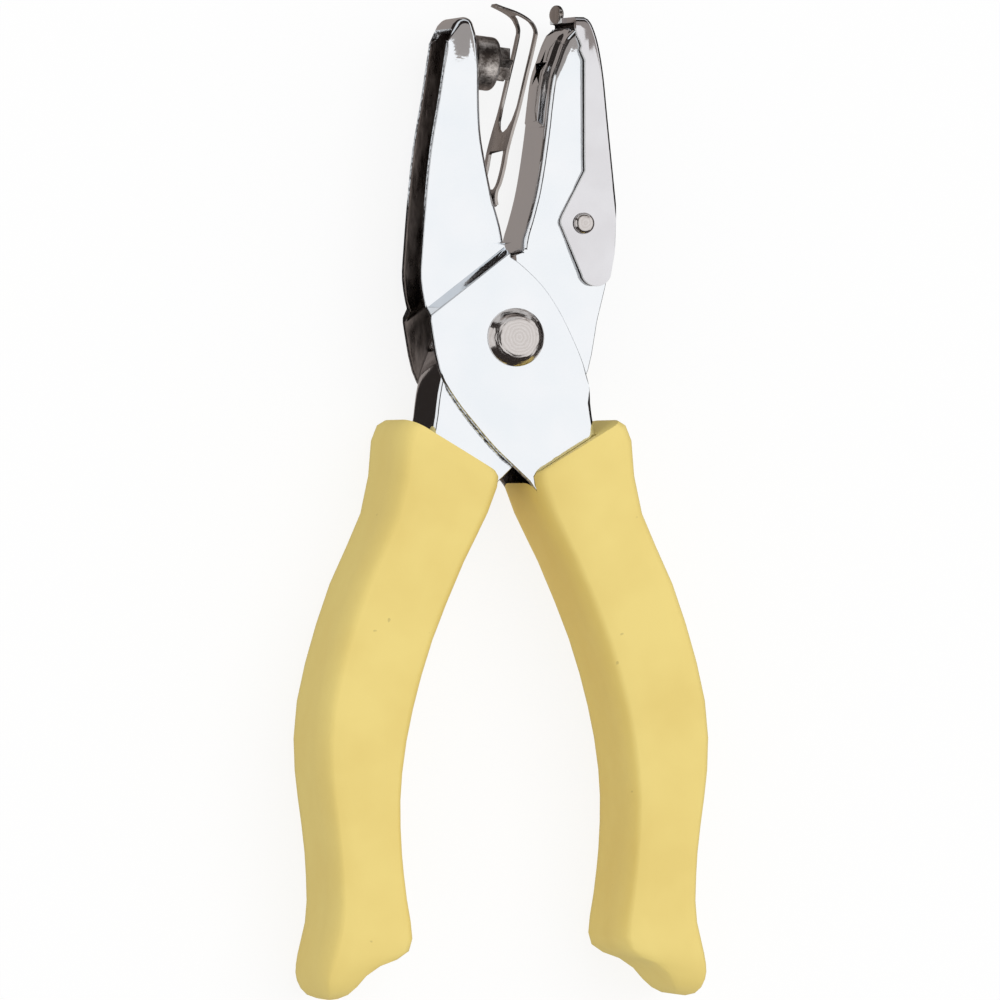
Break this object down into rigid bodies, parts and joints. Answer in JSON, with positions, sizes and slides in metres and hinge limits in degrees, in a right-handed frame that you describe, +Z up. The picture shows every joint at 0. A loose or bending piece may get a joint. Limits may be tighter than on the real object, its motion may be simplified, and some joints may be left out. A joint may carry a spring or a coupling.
{
  "type": "hole punch",
  "caption": "Hand-held plier punch for a star-shaped hole near a sheet's edge, with spring-opened pressed levers, a chip catcher and moulded grips.",
  "frame": {"origin": "middle of the pivot rivet's flat rear head, in the plane that the punch lies on", "axes": "+X right across the jaws toward the die lever, +Y along the tool from grips to noses, +Z up along the pivot toward the domed rivet head"},
  "size_m": [0.061, 0.149, 0.02],
  "materials": {
    "chrome_plate": "bright plated pressed sheet steel",
    "dull_plate": "satin plated thin sheet steel",
    "spring_steel": "bare spring steel",
    "hardened_steel": "dark speckled heat-treated steel",
    "dark_nickel": "dark plated, turned head",
    "soft_vinyl": "soft matte yellow moulded vinyl"
  },
  "bodies": {
    "die_side": {"die_lever": "chrome_plate", "grip_left": "soft_vinyl", "pivot_rivet": "dark_nickel", "pivot_sleeve": "spring_steel", "return_spring": "spring_steel", "catcher_pin": "dark_nickel"},
    "punch_side": {"punch_lever": "chrome_plate", "grip_right": "soft_vinyl", "star_punch": "hardened_steel", "stripper_rivet": "hardened_steel"},
    "stripper": {"stripper_leaf": "spring_steel"},
    "cover": {"catcher": "dull_plate"}
  },
  "joints": [
    {"name": "jaw_hinge", "type": "hinge", "parent": "die_side", "child": "punch_side", "pos_m": [0, 0, 0.01], "axis": [0, 0, -1], "range_deg": [0, 8.5], "stiffness_Nm_per_rad": 1, "springref_deg": -17.19, "deforming": ["return_spring"]},
    {"name": "stripper_flex", "type": "hinge", "parent": "punch_side", "child": "stripper", "pos_m": [-0.00194, 0.0205, 0.01], "axis": [0, 0, 1], "range_deg": [0, 11]},
    {"name": "catcher_hinge", "type": "hinge", "parent": "die_side", "child": "cover", "pos_m": [0.0107, 0.0171, 0.01], "axis": [0, 0, -1], "range_deg": [0, 45]}
  ],
  "couplings": [
    {"joint": "stripper_flex", "follows": "jaw_hinge", "ratio": 1.294}
  ]
}
